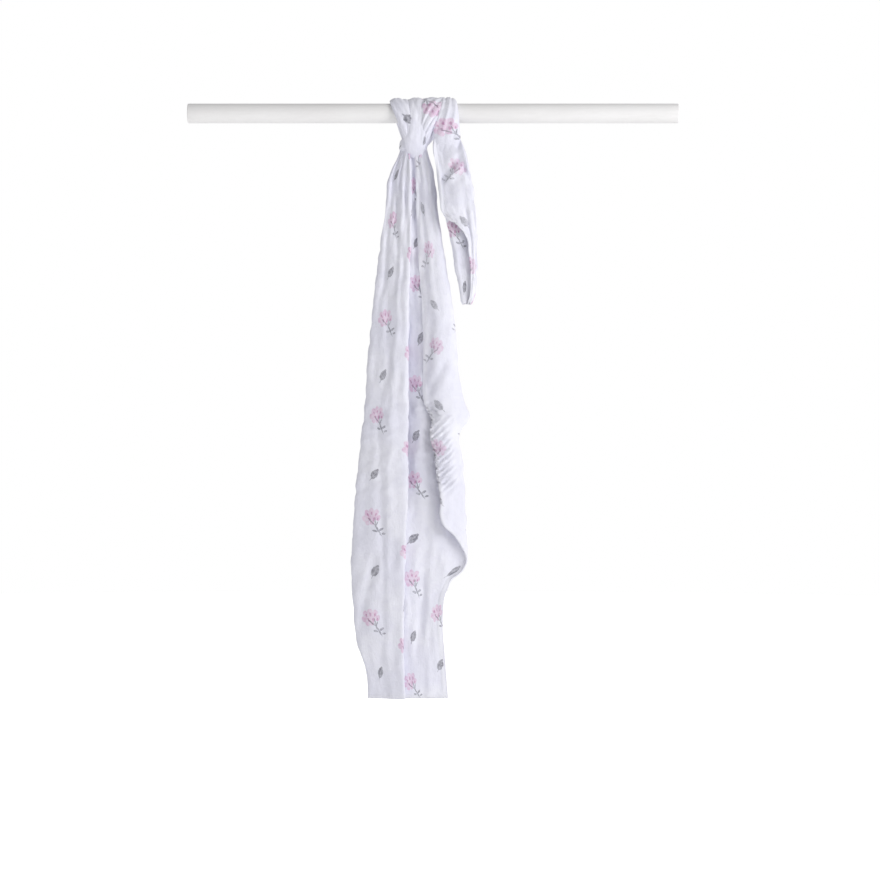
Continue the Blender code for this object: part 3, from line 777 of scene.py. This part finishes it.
# Materials
class Shader:
    """A material's nodes, made by what they compute."""

    def __init__(self, name):
        self.material = bpy.data.materials.new(name)
        self.material.use_nodes = True
        self.tree = self.material.node_tree
        self.surface = self.tree.nodes["Principled BSDF"]

    def node(self, kind, **settings):
        made = self.tree.nodes.new(kind)
        for key, value in settings.items():
            setattr(made, key, value)
        return made

    def link(self, value, socket):
        """Joins a socket to another, or sets it to a plain value."""
        if isinstance(value, bpy.types.NodeSocket):
            self.tree.links.new(value, socket)
        else:
            socket.default_value = value

    def math(self, operation, *values):
        made = self.node("ShaderNodeMath", operation=operation)
        for value, socket in zip(values, made.inputs):
            self.link(value, socket)
        return made.outputs[0]

    def vector(self, operation, *values, out=0):
        made = self.node("ShaderNodeVectorMath", operation=operation)
        for value, socket in zip(values, made.inputs):
            self.link(value, socket)
        return made.outputs[out]

    def joined(self, *values):
        """A vector of up to three numbers."""
        made = self.node("ShaderNodeCombineXYZ")
        for value, socket in zip(values, made.inputs):
            self.link(value, socket)
        return made.outputs[0]

    def ramp(self, value, low, high, from_low=0.0, from_high=1.0):
        """The value moved smoothly from one range to another and held at its ends."""
        made = self.node("ShaderNodeMapRange", interpolation_type="SMOOTHSTEP")
        for value_in, socket in zip((value, from_low, from_high, low, high), made.inputs):
            self.link(value_in, socket)
        return made.outputs[0]

    def mix(self, share, first, second):
        """The first colour with a share of the second over it."""
        made = self.node("ShaderNodeMix", data_type="RGBA")
        sockets = [s for s in made.inputs if s.enabled]
        for value, socket in zip((share, first, second), sockets):
            self.link(value, socket)
        return [s for s in made.outputs if s.enabled][0]

    def between(self, share, pair):
        """A colour between the two of a pair."""
        return self.mix(share, colour(*pair[0]), colour(*pair[1]))

    def noise(self, vector, scale, detail=2.0, roughness=0.5, distortion=0.0, out="Fac"):
        made = self.node("ShaderNodeTexNoise")
        self.link(vector, made.inputs["Vector"])
        settings = {"Scale": scale, "Detail": detail, "Roughness": roughness, "Distortion": distortion}
        for key, value in settings.items():
            made.inputs[key].default_value = value
        return made.outputs[out]

    def threads(self, vector, direction, scale):
        """Threads side by side, as a soft wave across them."""
        made = self.node("ShaderNodeTexWave", bands_direction=direction, wave_profile="SIN")
        self.link(vector, made.inputs["Vector"])
        made.inputs["Scale"].default_value = scale
        return made.outputs["Fac"]

    def mapped(self, vector, location=(0, 0, 0), rotation=(0, 0, 0), scale=(1, 1, 1), kind="POINT"):
        made = self.node("ShaderNodeMapping", vector_type=kind)
        for value, socket in zip((vector, location, rotation, scale), made.inputs):
            self.link(value, socket)
        return made.outputs[0]

    def ellipse(self, vector, x, y, half_length, half_width, angle, soft):
        """1 inside an ellipse on the vector's plane, 0 outside."""
        middle, turned = (x * MM, y * MM, 0), (0, 0, np.radians(angle))
        inside = self.mapped(vector, middle, turned, (half_length * MM, half_width * MM, 1), "TEXTURE")
        return self.ramp(self.vector("LENGTH", inside, out=1), 1.0, 0.0, 1 - soft, 1 + soft)

    def any_of(self, masks):
        """The highest of the masks."""
        found = masks[0]
        for mask in masks[1:]:
            found = self.math("MAXIMUM", found, mask)
        return found

    def finish(self, values):
        """Sets the surface's own sockets."""
        for key, value in values.items():
            self.link(value, self.surface.inputs[key])

    def raise_by(self, height, strength, distance):
        """Bumps the surface by a height from 0 to 1, distance in mm."""
        bump = self.node("ShaderNodeBump")
        bump.inputs["Strength"].default_value = strength
        bump.inputs["Distance"].default_value = distance * MM
        self.link(height, bump.inputs["Height"])
        self.link(bump.outputs[0], self.surface.inputs["Normal"])


def colour(red, green, blue):
    """A colour given as it looks on screen, in 0 to 255, as the shader takes it."""
    shown = np.array((red, green, blue)) / 255.0
    linear = np.where(shown <= 0.04045, shown / 12.92, ((shown + 0.055) / 1.055) ** 2.4)
    return (*[float(c) for c in linear], 1.0)


# Colours as they look on screen, from 0 to 255. A material goes softly from one to the other of a pair.
MUSLIN_WHITE = ((243, 243, 253), (237, 237, 250))
MUSLIN_MOTTLE = (229, 228, 244)
HEM_WHITE = (248, 248, 254)
PETAL_PINK = ((237, 213, 233), (225, 191, 219))
HEART_PINK = ((202, 150, 188), (184, 128, 170))
STEM_GREY = ((126, 125, 138), (158, 158, 170))
LEAF_GREY = ((104, 104, 116), (150, 150, 160))
VEIN_GREY = (214, 213, 222)
PAINT_WHITE = ((247, 246, 246), (238, 236, 236))
GRAIN_GREY = (232, 229, 227)
THREAD_WHITE = ((244, 243, 250), (226, 224, 238))

# The print: a forked sprig with round petals, and a single leaf, one under the other in columns. Each column
# starts a little further down than the one before it. In metres: how far apart the columns lie, and a sprig
# from the next below it, where the first starts across and down, and the whole range of how a motif may
# stray. PRINT_STEP is how much further down a column starts, as a share of PRINT_DOWN, and PRINT_TURN the
# whole range, in radians, of how a motif may turn.
PRINT_ACROSS = 0.058
PRINT_DOWN = 0.141
PRINT_START = (0.055, 0.1066)
PRINT_STEP = 0.325
PRINT_STRAY = 0.008
PRINT_TURN = 0.5
# The motifs are printed this much larger than their tables, across and down
MOTIF_SIZE = (1.2, 1.2)
# How ragged the ink's edge is, in metres, and how fine its raggedness
INK_EDGE = 0.0022
INK_EDGE_SCALE = 300.0
# How much less ink shows on the cloth's back
INK_LOST_BEHIND = 0.28
# Columns: across, up, half the length, half the width, angle
PETALS = (
    (-9.5, 10.8, 4.0, 3.1, 115.0),
    (-4.0, 13.0, 4.2, 3.2, 98.0),
    (2.0, 12.0, 4.0, 3.1, 80.0),
    (-11.8, 4.6, 3.8, 3.0, 125.0),
    (-6.3, 6.0, 4.0, 3.1, 105.0),
    (-0.6, 6.2, 4.0, 3.1, 90.0),
    (4.8, 6.0, 3.6, 2.8, 65.0),
    (-8.0, -0.5, 3.2, 2.5, 120.0),
    (-2.4, 0.2, 3.2, 2.5, 100.0),
)
PETAL_HEARTS = (
    (-8.7, 8.9, 2.0, 0.9, 115.0),
    (-3.7, 10.6, 2.2, 1.0, 98.0),
    (1.7, 9.8, 2.0, 0.9, 80.0),
    (-6.0, 3.6, 2.2, 1.0, 105.0),
    (-0.6, 3.8, 2.2, 1.0, 90.0),
    (4.1, 4.4, 1.6, 0.8, 65.0),
)
STEMS = (
    (5.2, -8.2, 8.8, 1.0, 123.0),
    (-3.4, 1.2, 6.0, 0.7, 137.0),
    (1.5, 1.6, 4.8, 0.7, 100.0),
    (3.6, -1.0, 3.8, 0.65, 70.0),
)
SPRIG_LEAVES = (
    (9.4, -7.6, 3.1, 1.4, 28.0),
    (1.8, -9.6, 2.9, 1.3, 165.0),
    (12.6, -12.6, 2.6, 1.2, 10.0),
)
LEAF_BLADES = (
    (0.0, 0.0, 6.4, 4.3, 55.0),
    (2.3, 3.3, 4.2, 2.0, 55.0),
)
LEAF_VEIN = (0.4, 0.6, 6.4, 0.45, 55.0)
LEAF_STALK = ((-4.2, -6.2, 2.6, 0.55, 58.0),)

# How much of its own white the hem shows
HEM_SHARE = 0.35

# The height of the muslin's face: its crumple, then small puckers drawn out down the threads and the threads
# themselves, one every 1.3 mm, each with its share beside the crumple
CRUMPLE_SCALE = 120.0
PUCKER_SCALE = 420.0
PUCKER_STRETCH = (1.0, 0.28, 1.0)
PUCKER_SHARE = 0.45
THREAD_SCALE = 240.0
THREAD_SHARE = 0.08


def motif_place(shader, print_uv, half_down):
    """The place inside one motif's cell, in metres from its middle, strayed and turned a little by chance."""
    split = shader.node("ShaderNodeSeparateXYZ")
    shader.link(print_uv, split.inputs[0])
    across = shader.math("DIVIDE", shader.math("SUBTRACT", split.outputs[0], PRINT_START[0]), PRINT_ACROSS)
    column = shader.math("FLOOR", across)
    shifted = shader.math("FRACT", shader.math("MULTIPLY", column, PRINT_STEP))
    down = shader.math("DIVIDE", shader.math("SUBTRACT", split.outputs[1], PRINT_START[1]), PRINT_DOWN)
    down = shader.math("ADD", shader.math("SUBTRACT", down, shifted), half_down)
    row = shader.math("FLOOR", down)
    chance = shader.node("ShaderNodeTexWhiteNoise", noise_dimensions="3D")
    shader.link(shader.joined(column, row, half_down), chance.inputs["Vector"])
    inside_across = shader.math("SUBTRACT", shader.math("SUBTRACT", across, column), 0.5)
    inside_down = shader.math("SUBTRACT", 0.5, shader.math("SUBTRACT", down, row))
    inside = shader.joined(
        shader.math("MULTIPLY", inside_across, PRINT_ACROSS),
        shader.math("MULTIPLY", inside_down, PRINT_DOWN),
    )
    stray = shader.vector("SUBTRACT", chance.outputs["Color"], (0.5, 0.5, 0.5))
    stray = shader.vector("MULTIPLY", stray, (PRINT_STRAY, PRINT_STRAY, 0.0))
    turned = shader.node("ShaderNodeVectorRotate", rotation_type="Z_AXIS")
    shader.link(shader.vector("ADD", inside, stray), turned.inputs["Vector"])
    angle = shader.math("MULTIPLY", shader.math("SUBTRACT", chance.outputs["Value"], 0.5), PRINT_TURN)
    shader.link(angle, turned.inputs["Angle"])
    return shader.vector("DIVIDE", turned.outputs[0], (*MOTIF_SIZE, 1.0))


def printed(shader, cloth, print_uv):
    """The cloth's colour with the sprigs and leaves printed over it."""
    ragged = shader.vector("SUBTRACT", shader.noise(print_uv, INK_EDGE_SCALE, out="Color"), (0.5, 0.5, 0.5))
    ragged = shader.vector("MULTIPLY", ragged, (INK_EDGE, INK_EDGE, 0.0))
    sprig_at = shader.vector("ADD", motif_place(shader, print_uv, 0.0), ragged)
    leaf_at = shader.vector("ADD", motif_place(shader, print_uv, 0.5), ragged)
    wash = shader.noise(print_uv, scale=260.0, detail=3.0, roughness=0.6)
    wash = shader.ramp(wash, low=0.62, high=1.0, from_low=0.38, from_high=0.6)
    back = shader.node("ShaderNodeAttribute", attribute_name="reverse").outputs["Fac"]
    shown = shader.math("SUBTRACT", 1.0, shader.math("MULTIPLY", back, INK_LOST_BEHIND))
    ink = shader.math("MULTIPLY", wash, shown)
    tone = shader.ramp(shader.noise(print_uv, scale=70.0), low=0.0, high=1.0, from_low=0.35, from_high=0.65)
    # Columns: motif's place, ellipses, ink, strength, how soft the edge is
    for at, rows, tints, strength, soft in (
        (sprig_at, PETALS, PETAL_PINK, 0.92, 0.12),
        (sprig_at, PETAL_HEARTS, HEART_PINK, 0.8, 0.35),
        (sprig_at, STEMS, STEM_GREY, 0.85, 0.35),
        (sprig_at, SPRIG_LEAVES, STEM_GREY, 0.8, 0.12),
        (leaf_at, LEAF_BLADES, LEAF_GREY, 0.85, 0.12),
        (leaf_at, LEAF_STALK, STEM_GREY, 0.8, 0.4),
    ):
        motif = shader.any_of([shader.ellipse(at, *row, soft=soft) for row in rows])
        inked = shader.math("MULTIPLY", shader.math("MULTIPLY", motif, strength), ink)
        cloth = shader.mix(inked, cloth, shader.between(tone, tints))
    vein = shader.ellipse(leaf_at, *LEAF_VEIN, soft=0.5)
    return shader.mix(shader.math("MULTIPLY", vein, 0.5), cloth, colour(*VEIN_GREY))


def muslin(name):
    """Washed white muslin with a faint lavender cast, printed with sprigs and leaves."""
    shader = Shader(name)
    print_uv = shader.node("ShaderNodeUVMap", uv_map="print").outputs[0]
    here = shader.node("ShaderNodeTexCoord").outputs["Object"]
    hem = shader.node("ShaderNodeAttribute", attribute_name="hem").outputs["Fac"]
    broad = shader.noise(here, scale=14.0, detail=3.0)
    broad = shader.ramp(broad, low=0.0, high=1.0, from_low=0.35, from_high=0.65)
    mottled = shader.noise(here, scale=95.0, detail=4.0, roughness=0.6)
    mottled = shader.ramp(mottled, low=0.0, high=0.35, from_low=0.45, from_high=0.75)
    cloth = shader.mix(mottled, shader.between(broad, MUSLIN_WHITE), colour(*MUSLIN_MOTTLE))
    cloth = shader.mix(shader.math("MULTIPLY", hem, HEM_SHARE), cloth, colour(*HEM_WHITE))
    shader.finish(
        {
            "Base Color": printed(shader, cloth, print_uv),
            "Roughness": 0.92,
            "Sheen Weight": 0.25,
            "Sheen Roughness": 0.55,
            "Specular IOR Level": 0.25,
        }
    )
    crumple = shader.noise(here, CRUMPLE_SCALE, detail=3.0, roughness=0.55, distortion=0.6)
    pucker = shader.noise(shader.mapped(print_uv, scale=PUCKER_STRETCH), PUCKER_SCALE)
    warp, weft = (shader.threads(print_uv, way, THREAD_SCALE) for way in "XY")
    height = shader.math("MULTIPLY_ADD", pucker, PUCKER_SHARE, crumple)
    height = shader.math("MULTIPLY_ADD", shader.math("MULTIPLY", warp, weft), THREAD_SHARE, height)
    shader.raise_by(height, strength=0.8, distance=1.1)
    return shader.material


def painted_wood(name):
    """White paint over a turned wooden pole: faint grain under a satin coat, and a little grime on top."""
    shader = Shader(name)
    here = shader.node("ShaderNodeTexCoord").outputs["Object"]
    grain = shader.noise(shader.mapped(here, scale=(0.06, 1.0, 1.0)), scale=420.0, detail=4.0, roughness=0.6)
    grime = shader.noise(shader.mapped(here, scale=(0.3, 1.0, 1.0)), scale=26.0, detail=3.0)
    soiled = shader.ramp(grime, low=0.0, high=0.5, from_low=0.4, from_high=0.75)
    grained = shader.ramp(grain, low=0.0, high=0.25, from_low=0.5, from_high=0.8)
    shader.finish(
        {
            "Base Color": shader.mix(grained, shader.between(soiled, PAINT_WHITE), colour(*GRAIN_GREY)),
            "Roughness": shader.ramp(grain, low=0.30, high=0.42, from_low=0.3, from_high=0.7),
            "Coat Weight": 0.15,
            "Coat Roughness": 0.3,
        }
    )
    shader.raise_by(grain, strength=0.25, distance=0.15)
    return shader.material


def thread(name):
    """White sewing thread."""
    shader = Shader(name)
    twist = shader.noise(shader.node("ShaderNodeTexCoord").outputs["Object"], scale=900.0)
    twist = shader.ramp(twist, low=0.0, high=1.0, from_low=0.3, from_high=0.7)
    shader.finish(
        {
            "Base Color": shader.between(twist, THREAD_WHITE),
            "Roughness": 0.6,
            "Sheen Weight": 0.2,
        }
    )
    return shader.material


blanket.data.materials.clear()
blanket.data.materials.append(muslin("printed_muslin"))
pole.data.materials.append(painted_wood("white_painted_wood"))


# The hem's stitches
STITCH_INSET = 5.0
# The inputs of the stitches' tree, in metres
STITCH_SIZES = {
    "Stitch spacing": 3.6 * MM,
    "Stitch length": 2.5 * MM,
    "Thread thickness": 0.6 * MM,
    "Depth": 3.2 * MM,
}


def point_between(points, stations, at):
    """The point on a line of points where their stations reach a value."""
    return [np.interp(at, stations, points[:, axis]) for axis in range(3)]


def hem_lines(grid):
    """The lines that the hem's stitching follows: both side edges and the lower edge, set in from them."""
    length, up = lengths_across(grid), grid[:, :, 2]
    width = length[:, -1]
    rows = [k for k in range(len(grid)) if up[k, 0] > up[-1, 0] + STITCH_INSET]
    columns = [k for k in range(grid.shape[1]) if STITCH_INSET < length[-1, k] < width[-1] - STITCH_INSET]
    return (
        [point_between(grid[k], length[k], STITCH_INSET) for k in rows],
        [point_between(grid[k], length[k], width[k] - STITCH_INSET) for k in rows],
        [point_between(grid[:, k], -up[:, k], -(up[-1, k] + STITCH_INSET)) for k in columns],
    )


def stitch_tree(material):
    """A tree that lays one short stitch after another along its input lines."""
    tree = bpy.data.node_groups.new("stitches along a line", "GeometryNodeTree")
    tree.interface.new_socket("Line", in_out="INPUT", socket_type="NodeSocketGeometry")
    for key, value in STITCH_SIZES.items():
        socket = tree.interface.new_socket(key, in_out="INPUT", socket_type="NodeSocketFloat")
        socket.default_value = value
    tree.interface.new_socket("Stitches", in_out="OUTPUT", socket_type="NodeSocketGeometry")
    nodes, links = tree.nodes, tree.links
    start, end = nodes.new("NodeGroupInput"), nodes.new("NodeGroupOutput")
    curve = nodes.new("GeometryNodeMeshToCurve")
    resample = nodes.new("GeometryNodeResampleCurve")
    resample.mode = "LENGTH"
    bead = nodes.new("GeometryNodeMeshIcoSphere")
    bead.inputs["Subdivisions"].default_value = 1
    bead.inputs["Radius"].default_value = 0.5
    instance = nodes.new("GeometryNodeInstanceOnPoints")
    tangent = nodes.new("GeometryNodeInputTangent")
    align = nodes.new("FunctionNodeAlignRotationToVector")
    align.axis = "X"
    size = nodes.new("ShaderNodeCombineXYZ")
    realize = nodes.new("GeometryNodeRealizeInstances")
    smooth = nodes.new("GeometryNodeSetShadeSmooth")
    finish = nodes.new("GeometryNodeSetMaterial")
    finish.inputs["Material"].default_value = material
    for output, socket in (
        (start.outputs["Line"], curve.inputs[0]),
        (curve.outputs[0], resample.inputs["Curve"]),
        (start.outputs["Stitch spacing"], resample.inputs["Length"]),
        (resample.outputs[0], instance.inputs["Points"]),
        (bead.outputs[0], instance.inputs["Instance"]),
        (tangent.outputs[0], align.inputs["Vector"]),
        (align.outputs[0], instance.inputs["Rotation"]),
        (start.outputs["Stitch length"], size.inputs[0]),
        (start.outputs["Depth"], size.inputs[1]),
        (start.outputs["Thread thickness"], size.inputs[2]),
        (size.outputs[0], instance.inputs["Scale"]),
        (instance.outputs[0], realize.inputs[0]),
        (realize.outputs[0], smooth.inputs["Geometry"]),
        (smooth.outputs[0], finish.inputs["Geometry"]),
        (finish.outputs[0], end.inputs[0]),
    ):
        links.new(output, socket)
    return tree


def make_stitches(name, grids, material):
    """Stitches along the hems of the grids, as one plain mesh."""
    corners, edges = [], []
    for grid in grids:
        for line in hem_lines(grid):
            first = len(corners)
            corners.extend(place(*point) for point in line)
            edges.extend((first + k, first + k + 1) for k in range(len(line) - 1))
    data = bpy.data.meshes.new(f"{name} lines")
    data.from_pydata(corners, edges, [])
    lines = new_object(f"{name} lines", data)
    lines.modifiers.new("stitches", "NODES").node_group = stitch_tree(material)
    made = bpy.data.meshes.new_from_object(lines.evaluated_get(bpy.context.evaluated_depsgraph_get()))
    made.name = name
    bpy.data.objects.remove(lines)
    return new_object(name, made)


stitches = make_stitches("hem_stitches", (hanging_points, tail_points), thread("sewing_thread"))

# What each piece stands for
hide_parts("blanket")
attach(blanket, "root")
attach(stitches, "root")
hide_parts("pole")
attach(pole, "root")

# The studio, in metres
FLOOR_DROP = 1.30
FLOOR_RADIUS = 9.0
FLOOR_SIDES = 96
FLOOR_COLOUR = (0.96, 0.96, 0.96, 1.0)
# How bright the floor glows as light. The camera sees it fully white.
FLOOR_GLOW = 0.36
# How bright the room is as light, at the blanket's level and overhead, and how much brighter on the right
STUDIO_LIGHT = 0.51
CEILING_LIGHT = 0.34
STUDIO_SIDE = 0.30
# How far up the way to the ceiling starts and ends, from 0 level to 1 straight up
CEILING_FROM = (0.15, 0.95)
LIGHTS_AIM = (0.34, 0.0, -0.40)
# Columns: place, diameter, power in watts
LIGHTS = {
    "key": ((2.3, -1.8, 0.55), 1.7, 34.0),
    "back fill": ((-1.9, 0.9, 0.5), 1.2, 3.0),
}
CAMERA_PLACE = (0.3619, -3.2, -0.4689)
# The camera's lens and sensor width in mm
CAMERA_LENS = 91.16
CAMERA_SENSOR = 36.0


def make_floor():
    """A pale disc of floor, wide enough for every view."""
    mesh = bmesh.new()
    bmesh.ops.create_circle(mesh, cap_ends=True, segments=FLOOR_SIDES, radius=FLOOR_RADIUS)
    for corner in mesh.verts:
        corner.co.z = -FLOOR_DROP
    floor = new_object("studio_floor", mesh_data("studio_floor", mesh))
    shader = Shader("pale_floor")
    seen = shader.node("ShaderNodeLightPath").outputs["Is Camera Ray"]
    shader.finish(
        {
            "Base Color": FLOOR_COLOUR,
            "Roughness": 0.9,
            "Emission Color": (1.0, 1.0, 1.0, 1.0),
            "Emission Strength": shader.ramp(seen, low=FLOOR_GLOW, high=1.0),
        }
    )
    floor.data.materials.append(shader.material)
    return floor


def make_light(name, at, diameter, power):
    """A round lamp that faces the blanket."""
    data = bpy.data.lights.new(name, "AREA")
    data.shape = "DISK"
    data.size = diameter
    data.energy = power
    light = new_object(name, data)
    light.location = at
    light.rotation_euler = (Vector(LIGHTS_AIM) - Vector(at)).to_track_quat("-Z", "Y").to_euler()


def make_world():
    """A white studio all round: full white where the camera sees it, softer as light, and dimmer overhead."""
    world = bpy.data.worlds.new("studio")
    world.use_nodes = True
    nodes, links = world.node_tree.nodes, world.node_tree.links
    towards = nodes.new("ShaderNodeSeparateXYZ")
    links.new(nodes.new("ShaderNodeTexCoord").outputs["Generated"], towards.inputs[0])
    height = nodes.new("ShaderNodeMapRange")
    height.interpolation_type = "SMOOTHSTEP"
    links.new(towards.outputs[2], height.inputs["Value"])
    height.inputs["From Min"].default_value, height.inputs["From Max"].default_value = CEILING_FROM
    height.inputs["To Min"].default_value = STUDIO_LIGHT
    height.inputs["To Max"].default_value = CEILING_LIGHT
    side = nodes.new("ShaderNodeMath")
    side.operation = "MULTIPLY_ADD"
    links.new(towards.outputs[0], side.inputs[0])
    side.inputs[1].default_value = STUDIO_SIDE
    side.inputs[2].default_value = 1.0
    light = nodes.new("ShaderNodeMath")
    light.operation = "MULTIPLY"
    links.new(height.outputs[0], light.inputs[0])
    links.new(side.outputs[0], light.inputs[1])
    strength = nodes.new("ShaderNodeMapRange")
    links.new(nodes.new("ShaderNodeLightPath").outputs["Is Camera Ray"], strength.inputs["Value"])
    links.new(light.outputs[0], strength.inputs["To Min"])
    strength.inputs["To Max"].default_value = 1.0
    links.new(strength.outputs[0], nodes["Background"].inputs["Strength"])
    nodes["Background"].inputs["Color"].default_value = (1.0, 1.0, 1.0, 1.0)
    bpy.context.scene.world = world


def make_camera():
    """The camera, level and square on to the pole."""
    data = bpy.data.cameras.new("camera")
    data.lens = CAMERA_LENS
    data.sensor_width = CAMERA_SENSOR
    camera = new_object("camera", data)
    camera.location = CAMERA_PLACE
    camera.rotation_euler = (np.pi / 2, 0.0, 0.0)
    return camera


make_floor()
for light_name, light_row in LIGHTS.items():
    make_light(light_name, *light_row)
make_world()
bpy.context.scene.view_settings.view_transform = "Standard"
bpy.context.scene.camera = make_camera()
